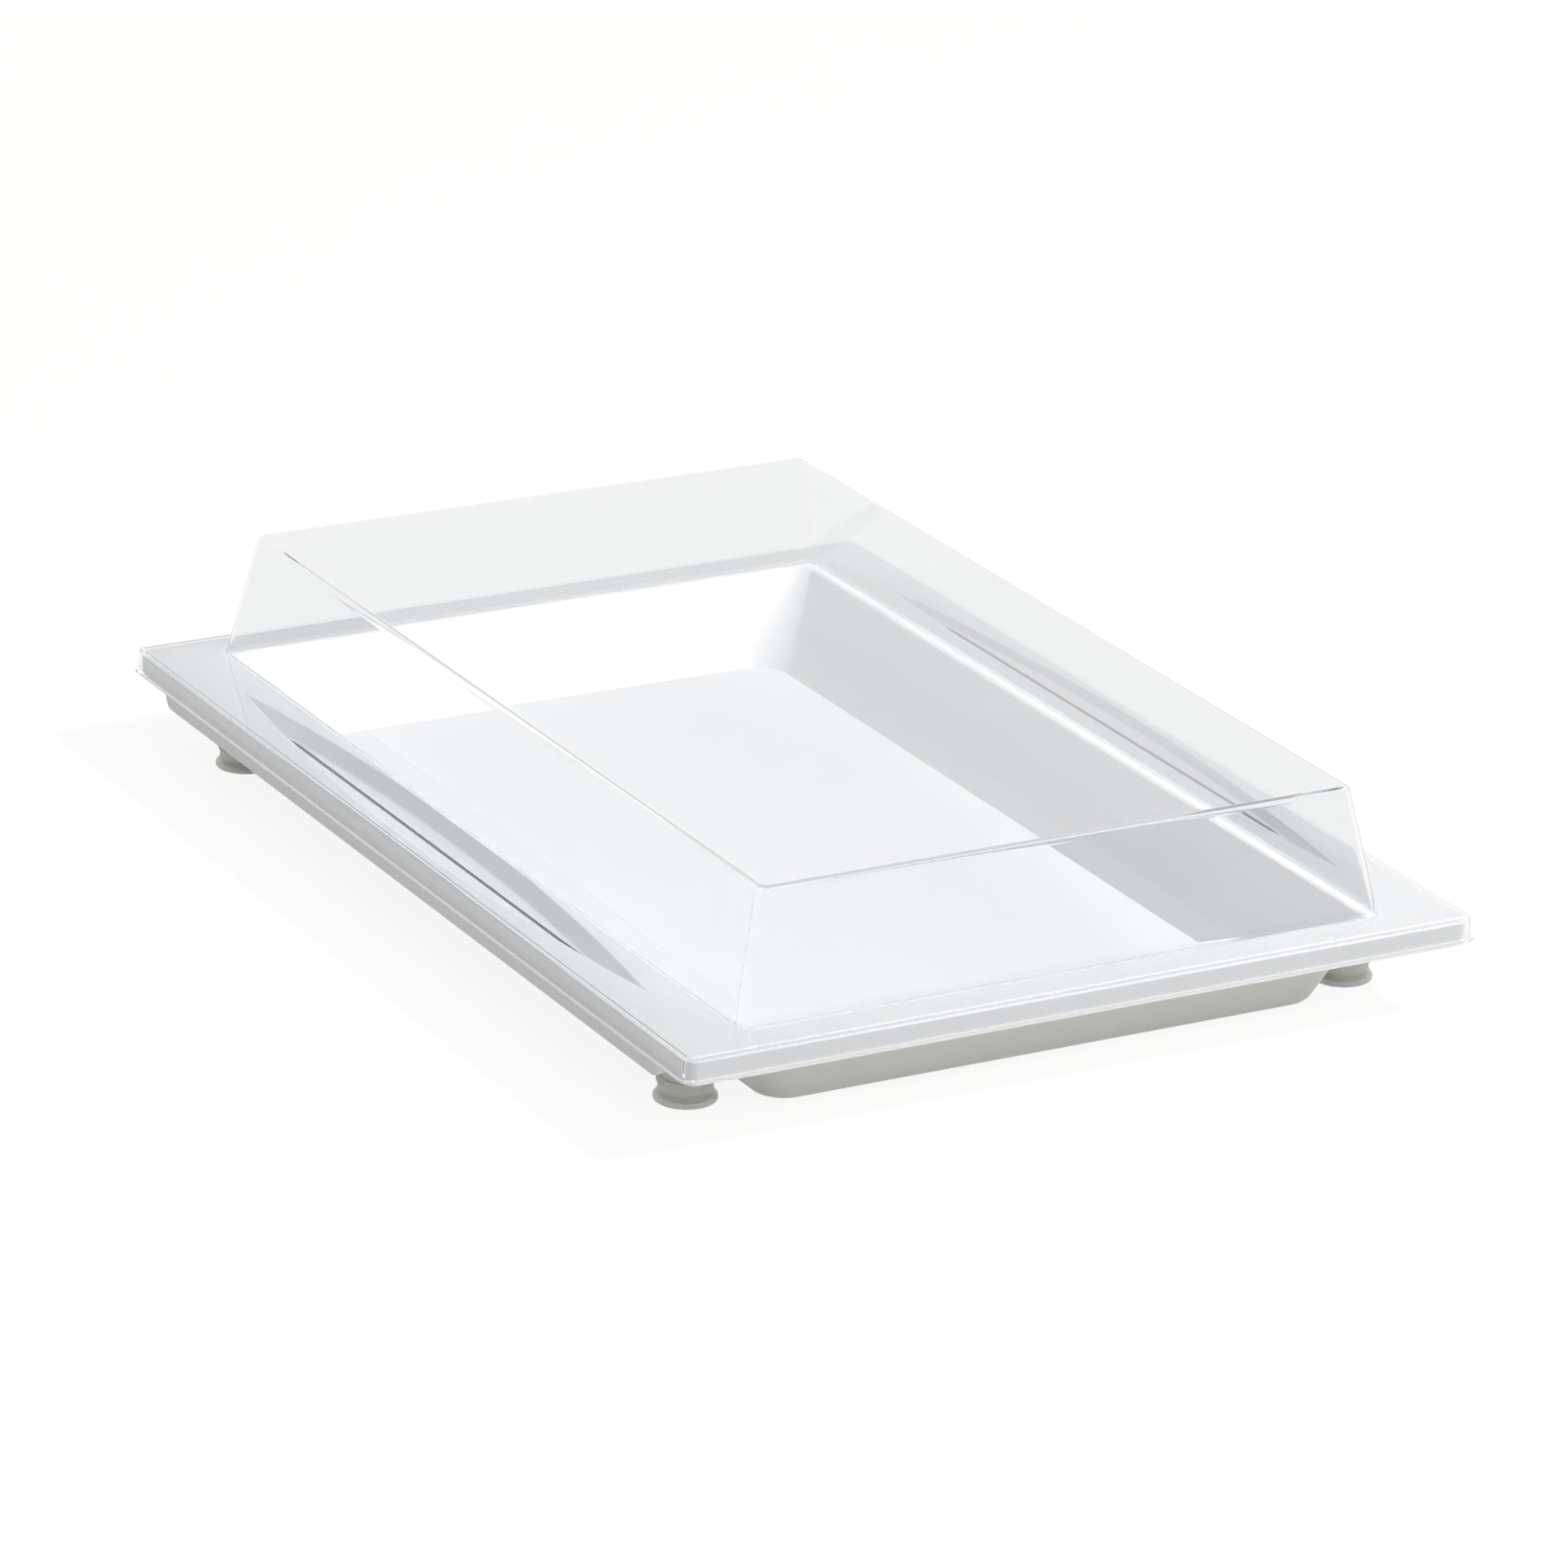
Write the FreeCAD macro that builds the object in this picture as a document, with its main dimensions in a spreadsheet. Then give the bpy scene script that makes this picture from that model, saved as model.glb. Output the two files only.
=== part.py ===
import FreeCAD, Part
import math
import os

import Sketcher

# Covered tray: a one-piece moulded tray with a sunk bowl, two leaf-shaped grip scoops and a
# turned-down rim, a clear domed cover that drops over the rim, and four soft feet plugged into
# posts under the corners. Sizes are in millimetres. X runs across the short side, Y along the
# long side, Z up; the origin is on the ground under the middle.

SIZES = {
    # Clear cover
    "cover_width": 320.0,
    "cover_length": 460.0,
    "cover_corner": 9.0,
    "cover_wall": 1.6,
    "skirt_drop": 9.0,
    "lip_reach": 1.5,
    "lip_depth": 1.2,
    "dome_side_margin": 29.0,
    "dome_end_margin": 16.5,
    "dome_side_lean": 10.5,
    "dome_end_lean": 7.0,
    "dome_rise": 48.0,
    "dome_corner": 7.0,
    "dome_edge_round": 3.0,
    "dome_root_round": 2.0,
    "cover_play": 0.3,
    # Tray flange, rim and side fascias
    "flange_wall": 3.0,
    "rim_wall": 2.6,
    "rim_drop": 9.5,
    "rim_edge_round": 1.2,
    "fascia_drop": 15.0,
    "fascia_end_margin": 22.1,
    "fascia_corner": 5.5,
    # Sunk bowl
    "bowl_side_margin": 31.1,
    "bowl_end_margin": 14.6,
    "bowl_lean": 16.0,
    "bowl_depth": 30.5,
    "bowl_round": 13.0,
    "bowl_brim_round": 3.0,
    "bowl_side_wall": 3.4,
    "bowl_floor_wall": 3.0,
    "bowl_under_round": 12.0,
    # Grip scoops
    "scoop_end_margin": 62.1,
    "scoop_width": 24.0,
    "scoop_depth": 5.0,
    "scoop_lean": 4.2,
    "scoop_inset": 15.2,
    "scoop_wall": 3.0,
    # Corner posts and feet
    "ground_gap": 1.2,
    "foot_side_inset": 23.1,
    "foot_end_inset": 45.6,
    "foot_stand": 9.0,
    "foot_disc_width": 23.0,
    "foot_disc_edge": 1.6,
    "foot_neck_width": 18.4,
    "foot_neck_rise": 4.2,
    "post_width": 22.0,
    "plug_width": 10.0,
    "plug_length": 8.0,
    "plug_play": 0.1,
    "plug_room": 1.0,
}

# Heights and widths that several pieces share, as formulas on the named sizes
TRAY_TOP = "(Sizes.ground_gap + Sizes.bowl_floor_wall + Sizes.bowl_depth)"
FLOOR_TOP = "(Sizes.ground_gap + Sizes.bowl_floor_wall)"
FLANGE_UNDER = "(" + TRAY_TOP + " - Sizes.flange_wall)"
COVER_TOP = "(" + TRAY_TOP + " + Sizes.cover_wall)"
SKIRT_GAP = "(2 * Sizes.cover_wall + 2 * Sizes.cover_play)"
TRAY_WIDTH = "(Sizes.cover_width - " + SKIRT_GAP + ")"
TRAY_LENGTH = "(Sizes.cover_length - " + SKIRT_GAP + ")"
TRAY_CORNER = "(Sizes.cover_corner - Sizes.cover_wall - Sizes.cover_play)"
BOWL_WIDTH = "(" + TRAY_WIDTH + " - 2 * Sizes.bowl_side_margin)"
BOWL_LENGTH = "(" + TRAY_LENGTH + " - 2 * Sizes.bowl_end_margin)"
FLOOR_WIDTH = "(" + BOWL_WIDTH + " - 2 * Sizes.bowl_lean)"
FLOOR_LENGTH = "(" + BOWL_LENGTH + " - 2 * Sizes.bowl_lean)"
BOWL_ANGLE = "atan(Sizes.bowl_lean / Sizes.bowl_depth)"
DOME_WIDTH = "(Sizes.cover_width - 2 * Sizes.dome_side_margin)"
DOME_LENGTH = "(Sizes.cover_length - 2 * Sizes.dome_end_margin)"
CROWN_WIDTH = "(" + DOME_WIDTH + " - 2 * Sizes.dome_side_lean)"
CROWN_LENGTH = "(" + DOME_LENGTH + " - 2 * Sizes.dome_end_lean)"
SCOOP_X = "(" + TRAY_WIDTH + " / 2 - Sizes.scoop_inset)"
SCOOP_LENGTH = "(" + TRAY_LENGTH + " - 2 * Sizes.scoop_end_margin)"
# A scoop is a leaf between two large arcs, with leaning walls and a flat floor
SCOOP_ARC = "((" + SCOOP_LENGTH + "^2 + Sizes.scoop_width^2) / (4 * Sizes.scoop_width))"
SCOOP_FLOOR_ARC = "(" + SCOOP_ARC + " - Sizes.scoop_lean)"
SCOOP_ANGLE = "atan(Sizes.scoop_lean / Sizes.scoop_depth)"
FOOT_X = "(" + TRAY_WIDTH + " / 2 - Sizes.foot_side_inset)"
FOOT_Y = "(" + TRAY_LENGTH + " / 2 - Sizes.foot_end_inset)"


def make_sheet(doc):
    """Write every driving size into the sheet, one named cell each."""
    sheet = doc.addObject("Spreadsheet::Sheet", "Sizes")
    for row, (alias, value) in enumerate(SIZES.items(), start=1):
        sheet.set("A%d" % row, alias)
        sheet.set("B%d" % row, str(value))
        sheet.setAlias("B%d" % row, alias)
    doc.recompute()
    return sheet


def origin_feature(body, role):
    """Return one of the body's own origin planes or axes by its role."""
    for feature in body.Origin.OriginFeatures:
        if feature.Role == role:
            return feature
    raise ValueError("no origin feature " + role)


def new_sketch(body, name, role, offset):
    """Start a sketch on an origin plane, moved off it by formulas for its local x, y and z."""
    sketch = body.newObject("Sketcher::SketchObject", name)
    sketch.AttachmentSupport = [(origin_feature(body, role), "")]
    sketch.MapMode = "FlatFace"
    for letter, formula in zip("xyz", offset):
        if formula is not None:
            sketch.setExpression("AttachmentOffset.Base." + letter, formula)
    return sketch


def measure(item, formula):
    """Work a formula out to a plain number."""
    value = item.evalExpression(formula)
    return float(getattr(value, "Value", value))


def set_size(sketch, label, constraint, formula):
    """Add a dimension under a name and tie it to a formula."""
    index = sketch.addConstraint(constraint)
    sketch.renameConstraint(index, label)
    sketch.setExpression("Constraints." + label, formula)


def rounded_rectangle(sketch, width, length, radius):
    """Draw a centred rectangle with rounded corners, sized by formulas."""
    half_x, half_y = measure(sketch, width) / 2, measure(sketch, length) / 2
    turn = measure(sketch, radius)
    sides = [
        ((-half_x + turn, -half_y), (half_x - turn, -half_y)),
        ((half_x, -half_y + turn), (half_x, half_y - turn)),
        ((half_x - turn, half_y), (-half_x + turn, half_y)),
        ((-half_x, half_y - turn), (-half_x, -half_y + turn)),
    ]
    lines = []
    for start, end in sides:
        segment = Part.LineSegment(FreeCAD.Vector(*start, 0), FreeCAD.Vector(*end, 0))
        lines.append(sketch.addGeometry(segment, False))
    centres = [(half_x, -half_y), (half_x, half_y), (-half_x, half_y), (-half_x, -half_y)]
    arcs = []
    quarter = math.pi / 2
    for step, (x, y) in enumerate(centres):
        x -= turn if x > 0 else -turn
        y -= turn if y > 0 else -turn
        circle = Part.Circle(FreeCAD.Vector(x, y, 0), FreeCAD.Vector(0, 0, 1), turn)
        arc = Part.ArcOfCircle(circle, (step - 1) * quarter, step * quarter)
        arcs.append(sketch.addGeometry(arc, False))
    for step in range(4):
        sketch.addConstraint(Sketcher.Constraint("Tangent", lines[step], 2, arcs[step], 1))
        following = lines[(step + 1) % 4]
        sketch.addConstraint(Sketcher.Constraint("Tangent", arcs[step], 2, following, 1))
    for step, kind in enumerate(("Horizontal", "Vertical", "Horizontal", "Vertical")):
        sketch.addConstraint(Sketcher.Constraint(kind, lines[step]))
    for arc in arcs[1:]:
        sketch.addConstraint(Sketcher.Constraint("Equal", arcs[0], arc))
    sketch.addConstraint(Sketcher.Constraint("Symmetric", arcs[0], 3, arcs[2], 3, -1, 1))
    across = Sketcher.Constraint("DistanceX", lines[3], 1, lines[1], 1, 2 * half_x)
    along = Sketcher.Constraint("DistanceY", lines[0], 1, lines[2], 1, 2 * half_y)
    set_size(sketch, "width", across, width)
    set_size(sketch, "length", along, length)
    set_size(sketch, "corner", Sketcher.Constraint("Radius", arcs[0], turn), radius)


def rectangle_sketch(body, name, height, width, length, radius):
    """Make a level sketch of one rounded rectangle at a height."""
    sketch = new_sketch(body, name, "XY_Plane", (None, None, height))
    rounded_rectangle(sketch, width, length, radius)
    return sketch


def plain_rectangle_sketch(body, name, height, width, length):
    """Make a level sketch of one centred rectangle with sharp corners at a height."""
    sketch = new_sketch(body, name, "XY_Plane", (None, None, height))
    half_x, half_y = measure(sketch, width) / 2, measure(sketch, length) / 2
    corners = [(-half_x, -half_y), (half_x, -half_y), (half_x, half_y), (-half_x, half_y)]
    points = [FreeCAD.Vector(x, y, 0) for x, y in corners]
    lines = []
    for step in range(4):
        segment = Part.LineSegment(points[step], points[(step + 1) % 4])
        lines.append(sketch.addGeometry(segment, False))
    for step, kind in enumerate(("Horizontal", "Vertical", "Horizontal", "Vertical")):
        following = lines[(step + 1) % 4]
        sketch.addConstraint(Sketcher.Constraint("Coincident", lines[step], 2, following, 1))
        sketch.addConstraint(Sketcher.Constraint(kind, lines[step]))
    sketch.addConstraint(Sketcher.Constraint("Symmetric", lines[0], 1, lines[2], 1, -1, 1))
    across = Sketcher.Constraint("DistanceX", lines[0], 1, lines[0], 2, 2 * half_x)
    along = Sketcher.Constraint("DistanceY", lines[1], 1, lines[1], 2, 2 * half_y)
    set_size(sketch, "width", across, width)
    set_size(sketch, "length", along, length)
    return sketch


def pad(body, name, sketch, length, upward):
    """Pad a level sketch up or down by a formula."""
    feature = body.newObject("PartDesign::Pad", name)
    feature.Profile = sketch
    feature.setExpression("Length", length)
    feature.Reversed = not upward
    sketch.Visibility = False
    return feature


def pocket(body, name, sketch, depth, upward):
    """Cut a level sketch out, up or down by a formula."""
    feature = body.newObject("PartDesign::Pocket", name)
    feature.Profile = sketch
    feature.setExpression("Length", depth)
    feature.Reversed = upward
    sketch.Visibility = False
    return feature


def loft(body, name, kind, lower, upper):
    """Loft between two rounded rectangles, with flat sides."""
    feature = body.newObject("PartDesign::" + kind, name)
    feature.Profile = lower
    feature.Sections = [upper]
    feature.Ruled = True
    return feature


def edges_at(shape, height, half_x, half_y, slack=0.05):
    """Name the edges of one closed loop: level, at a height, no larger than a half size."""
    found = []
    for index, edge in enumerate(shape.Edges, start=1):
        box = edge.BoundBox
        level = abs(box.ZMin - height) < slack and abs(box.ZMax - height) < slack
        reach_x = max(abs(box.XMin), abs(box.XMax))
        reach_y = max(abs(box.YMin), abs(box.YMax))
        on_side = abs(reach_x - half_x) < slack or abs(reach_y - half_y) < slack
        if level and on_side and reach_x < half_x + slack and reach_y < half_y + slack:
            found.append("Edge%d" % index)
    return found


def edges_between(shape, low, high, slack=0.05):
    """Name the straight edges that run from one height up to another."""
    found = []
    for index, edge in enumerate(shape.Edges, start=1):
        box = edge.BoundBox
        if abs(box.ZMin - low) < slack and abs(box.ZMax - high) < slack:
            found.append("Edge%d" % index)
    return found


def faces_between(shape, low, high, side=0, slack=0.05):
    """Name the faces that span two heights, on one side of the middle unless side is 0."""
    found = []
    for index, face in enumerate(shape.Faces, start=1):
        box = face.BoundBox
        spans = abs(box.ZMin - low) < slack and abs(box.ZMax - high) < slack
        if spans and face.CenterOfMass.x * side >= 0:
            found.append("Face%d" % index)
    return found


def lean_walls(body, name, base, low, high, angle, side, hollow):
    """Lean the upright walls of a pad or pocket outwards above its lowest level face."""
    feature = body.newObject("PartDesign::Draft", name)
    feature.Base = (base, faces_between(base.Shape, low, high, side))
    feature.NeutralPlane = (base, faces_between(base.Shape, low, low, side))
    feature.Reversed = not hollow
    feature.setExpression("Angle", angle)
    body.Document.recompute()
    return feature


def round_edges(body, name, base, edges, radius):
    """Round named edges of the feature before this one."""
    feature = body.newObject("PartDesign::Fillet", name)
    feature.Base = (base, edges)
    feature.setExpression("Radius", radius)
    return feature


def circles_at_corners(sketch, diameter):
    """Draw four equal circles, one over each foot."""
    first = None
    x, y, width = measure(sketch, FOOT_X), measure(sketch, FOOT_Y), measure(sketch, diameter)
    for side_x, side_y in ((1, 1), (-1, 1), (-1, -1), (1, -1)):
        centre = FreeCAD.Vector(side_x * x, side_y * y, 0)
        ring = Part.Circle(centre, FreeCAD.Vector(0, 0, 1), width / 2)
        circle = sketch.addGeometry(ring, False)
        if first is None:
            first = circle
            set_size(sketch, "bore", Sketcher.Constraint("Diameter", circle, width), diameter)
            across = Sketcher.Constraint("DistanceX", -1, 1, circle, 3, x)
            along = Sketcher.Constraint("DistanceY", -1, 1, circle, 3, y)
            set_size(sketch, "across", across, FOOT_X)
            set_size(sketch, "along", along, FOOT_Y)
            continue
        sketch.addConstraint(Sketcher.Constraint("Equal", first, circle))
        mirror_line = {(-1, 1): -2, (1, -1): -1}.get((side_x, side_y))
        if mirror_line is None:
            sketch.addConstraint(Sketcher.Constraint("Symmetric", first, 3, circle, 3, -1, 1))
        else:
            sketch.addConstraint(Sketcher.Constraint("Symmetric", first, 3, circle, 3, mirror_line))


def leaf_sketch(body, name, side, height):
    """Draw the floor of one scoop: a leaf between two equal arcs that meet in sharp tips."""
    across = SCOOP_X if side > 0 else "-" + SCOOP_X
    sketch = new_sketch(body, name, "XY_Plane", (across, None, height))
    radius = measure(sketch, SCOOP_FLOOR_ARC)
    offset = measure(sketch, SCOOP_ARC + " - Sizes.scoop_width / 2")
    swing = math.acos(offset / radius)
    right_circle = Part.Circle(FreeCAD.Vector(-offset, 0, 0), FreeCAD.Vector(0, 0, 1), radius)
    right = sketch.addGeometry(Part.ArcOfCircle(right_circle, -swing, swing), False)
    left_circle = Part.Circle(FreeCAD.Vector(offset, 0, 0), FreeCAD.Vector(0, 0, 1), radius)
    left = sketch.addGeometry(Part.ArcOfCircle(left_circle, math.pi - swing, math.pi + swing), False)
    sketch.addConstraint(Sketcher.Constraint("Coincident", right, 2, left, 1))
    sketch.addConstraint(Sketcher.Constraint("Coincident", left, 2, right, 1))
    sketch.addConstraint(Sketcher.Constraint("PointOnObject", right, 3, -1))
    sketch.addConstraint(Sketcher.Constraint("Symmetric", right, 3, left, 3, -2))
    bend = Sketcher.Constraint("Radius", right, radius)
    set_size(sketch, "bend", bend, SCOOP_FLOOR_ARC)
    spread = Sketcher.Constraint("DistanceX", right, 3, left, 3, 2 * offset)
    set_size(sketch, "spread", spread, "2 * " + SCOOP_ARC + " - Sizes.scoop_width")
    sketch.addConstraint(Sketcher.Constraint("Equal", right, left))
    return sketch


def turn(body, name, kind, sketch, axis):
    """Turn a sketch a full circle about one of its own axes."""
    feature = body.newObject("PartDesign::" + kind, name)
    feature.Profile = sketch
    feature.ReferenceAxis = (sketch, [axis])
    feature.Angle = 360.0
    sketch.Visibility = False
    return feature


def fascia_sketch(body, side):
    """Draw one long side fascia in its own upright plane, with rounded lower corners."""
    across = "{0} / 2".format(TRAY_WIDTH)
    if side < 0:
        across = "-" + across
    sketch = new_sketch(body, "FasciaOutline" + side_name(side), "YZ_Plane", (None, TRAY_TOP, across))
    span_formula = TRAY_LENGTH + " - 2 * Sizes.fascia_end_margin"
    half = measure(sketch, span_formula) / 2
    drop = measure(sketch, "Sizes.fascia_drop")
    turn_in = measure(sketch, "Sizes.fascia_corner")
    corners = [(-half, 0), (-half, -drop + turn_in), (-half + turn_in, -drop)]
    corners += [(half - turn_in, -drop), (half, -drop + turn_in), (half, 0)]
    points = [FreeCAD.Vector(y, z, 0) for y, z in corners]
    left = sketch.addGeometry(Part.LineSegment(points[0], points[1]), False)
    low_left = FreeCAD.Vector(-half + turn_in, -drop + turn_in, 0)
    circle = Part.Circle(low_left, FreeCAD.Vector(0, 0, 1), turn_in)
    left_arc = sketch.addGeometry(Part.ArcOfCircle(circle, math.pi, 3 * math.pi / 2), False)
    base = sketch.addGeometry(Part.LineSegment(points[2], points[3]), False)
    low_right = FreeCAD.Vector(half - turn_in, -drop + turn_in, 0)
    circle = Part.Circle(low_right, FreeCAD.Vector(0, 0, 1), turn_in)
    right_arc = sketch.addGeometry(Part.ArcOfCircle(circle, 3 * math.pi / 2, 2 * math.pi), False)
    right = sketch.addGeometry(Part.LineSegment(points[4], points[5]), False)
    top = sketch.addGeometry(Part.LineSegment(points[5], points[0]), False)
    sketch.addConstraint(Sketcher.Constraint("Tangent", left, 2, left_arc, 1))
    sketch.addConstraint(Sketcher.Constraint("Tangent", left_arc, 2, base, 1))
    sketch.addConstraint(Sketcher.Constraint("Tangent", base, 2, right_arc, 1))
    sketch.addConstraint(Sketcher.Constraint("Tangent", right_arc, 2, right, 1))
    sketch.addConstraint(Sketcher.Constraint("Coincident", right, 2, top, 1))
    sketch.addConstraint(Sketcher.Constraint("Coincident", top, 2, left, 1))
    sketch.addConstraint(Sketcher.Constraint("Vertical", left))
    sketch.addConstraint(Sketcher.Constraint("Vertical", right))
    sketch.addConstraint(Sketcher.Constraint("Horizontal", base))
    sketch.addConstraint(Sketcher.Constraint("PointOnObject", top, 1, -1))
    sketch.addConstraint(Sketcher.Constraint("Symmetric", top, 1, top, 2, -1, 1))
    sketch.addConstraint(Sketcher.Constraint("Equal", left_arc, right_arc))
    span = Sketcher.Constraint("DistanceX", top, 2, top, 1, 2 * half)
    set_size(sketch, "span", span, span_formula)
    fall = Sketcher.Constraint("DistanceY", base, 1, top, 2, drop)
    set_size(sketch, "fall", fall, "Sizes.fascia_drop")
    bend = Sketcher.Constraint("Radius", left_arc, turn_in)
    set_size(sketch, "bend", bend, "Sizes.fascia_corner")
    return sketch


def side_name(side):
    """Name the left or right side."""
    return "Right" if side > 0 else "Left"


def make_tray(doc):
    """Mould the tray: flange and rim, fascias, posts, scoop shells and the sunk bowl."""
    body = doc.addObject("PartDesign::Body", "tray")
    body.Label = "tray"

    # Flange and rim, as an upside-down shallow pan
    outline = rectangle_sketch(body, "RimOutline", TRAY_TOP, TRAY_WIDTH, TRAY_LENGTH, TRAY_CORNER)
    block = pad(body, "RimBlock", outline, "Sizes.rim_drop", False)
    doc.recompute()
    top_height = outline.Placement.Base.z
    edge_x = block.Shape.BoundBox.XMax
    edge_y = block.Shape.BoundBox.YMax
    inside = rectangle_sketch(
        body, "RimInside", FLANGE_UNDER,
        TRAY_WIDTH + " - 2 * Sizes.rim_wall", TRAY_LENGTH + " - 2 * Sizes.rim_wall",
        TRAY_CORNER + " - Sizes.rim_wall",
    )
    pocket(body, "RimHollow", inside, "Sizes.rim_drop", False)

    # Deeper fascias hide the scoops from the long sides
    for side in (-1, 1):
        fascia = body.newObject("PartDesign::Pad", "Fascia" + side_name(side))
        sketch = fascia_sketch(body, side)
        fascia.Profile = sketch
        fascia.setExpression("Length", "Sizes.rim_wall")
        fascia.Reversed = side > 0
        sketch.Visibility = False

    # Outside of the bowl, with its corners and lower edge rounded alike
    sole = measure(outline, "Sizes.ground_gap")
    flange_under = measure(outline, FLANGE_UNDER)
    spare = "(2 * Sizes.bowl_side_wall - 2 * Sizes.bowl_floor_wall * tan(" + BOWL_ANGLE + "))"
    underside = plain_rectangle_sketch(
        body, "BowlUnderside", "Sizes.ground_gap",
        FLOOR_WIDTH + " + " + spare, FLOOR_LENGTH + " + " + spare,
    )
    shell = pad(body, "BowlOutside", underside, FLANGE_UNDER + " - Sizes.ground_gap", True)
    doc.recompute()
    leaning = lean_walls(body, "BowlOutsideLean", shell, sole, flange_under, BOWL_ANGLE, 0, False)
    edges = edges_between(leaning.Shape, sole, flange_under)
    edges += edges_between(leaning.Shape, sole, sole)
    round_edges(body, "BowlUnderRound", leaning, edges, "Sizes.bowl_under_round")

    # Shells under the scoops
    shell_floor = TRAY_TOP + " - Sizes.scoop_depth - Sizes.scoop_wall"
    shell_low = measure(outline, shell_floor)
    for side in (-1, 1):
        leaf = leaf_sketch(body, "ScoopShellLeaf" + side_name(side), side, shell_floor)
        height = "Sizes.scoop_depth + Sizes.scoop_wall - Sizes.flange_wall"
        shell = pad(body, "ScoopShell" + side_name(side), leaf, height, True)
        doc.recompute()
        name = "ScoopShellLean" + side_name(side)
        lean_walls(body, name, shell, shell_low, flange_under, SCOOP_ANGLE, side, False)

    # Posts that carry the feet
    posts = new_sketch(body, "PostCircles", "XY_Plane", (None, None, "Sizes.foot_stand"))
    circles_at_corners(posts, "Sizes.post_width")
    pad(body, "Posts", posts, FLANGE_UNDER + " - Sizes.foot_stand + Sizes.flange_wall / 2", True)

    # Inside of the bowl, with its corners and cove rounded alike, and a rounded brim
    floor_height = measure(outline, FLOOR_TOP)
    floor = plain_rectangle_sketch(body, "BowlFloor", FLOOR_TOP, FLOOR_WIDTH, FLOOR_LENGTH)
    hollow = pocket(body, "BowlInside", floor, "Sizes.bowl_depth", True)
    doc.recompute()
    leaning = lean_walls(body, "BowlInsideLean", hollow, floor_height, top_height, BOWL_ANGLE, 0, True)
    edges = edges_between(leaning.Shape, floor_height, top_height)
    edges += edges_between(leaning.Shape, floor_height, floor_height)
    cove = round_edges(body, "BowlCove", leaning, edges, "Sizes.bowl_round")
    doc.recompute()
    half_x, half_y = measure(outline, BOWL_WIDTH) / 2, measure(outline, BOWL_LENGTH) / 2
    edges = edges_at(cove.Shape, top_height, half_x, half_y)
    scooped = round_edges(body, "BowlBrimRound", cove, edges, "Sizes.bowl_brim_round")

    # The scoops themselves
    scoop_floor = TRAY_TOP + " - Sizes.scoop_depth"
    scoop_low = measure(outline, scoop_floor)
    for side in (-1, 1):
        leaf = leaf_sketch(body, "ScoopLeaf" + side_name(side), side, scoop_floor)
        hollow = pocket(body, "Scoop" + side_name(side), leaf, "Sizes.scoop_depth", True)
        doc.recompute()
        name = "ScoopLean" + side_name(side)
        scooped = lean_walls(body, name, hollow, scoop_low, top_height, SCOOP_ANGLE, side, True)

    # Outer edge of the flange
    edges = edges_at(scooped.Shape, top_height, edge_x, edge_y)
    round_edges(body, "FlangeEdge", scooped, edges, "Sizes.rim_edge_round")

    # Blind bores for the plugs of the feet
    bores = new_sketch(body, "PlugCircles", "XY_Plane", (None, None, "Sizes.foot_stand"))
    circles_at_corners(bores, "Sizes.plug_width + 2 * Sizes.plug_play")
    pocket(body, "PlugBores", bores, "Sizes.plug_length + Sizes.plug_room", True)
    doc.recompute()
    return body


def sketch_half_sizes(sketch):
    """Give half the width and half the length of a centred outline."""
    box = sketch.Shape.BoundBox
    return (box.XMax - box.XMin) / 2, (box.YMax - box.YMin) / 2


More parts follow.
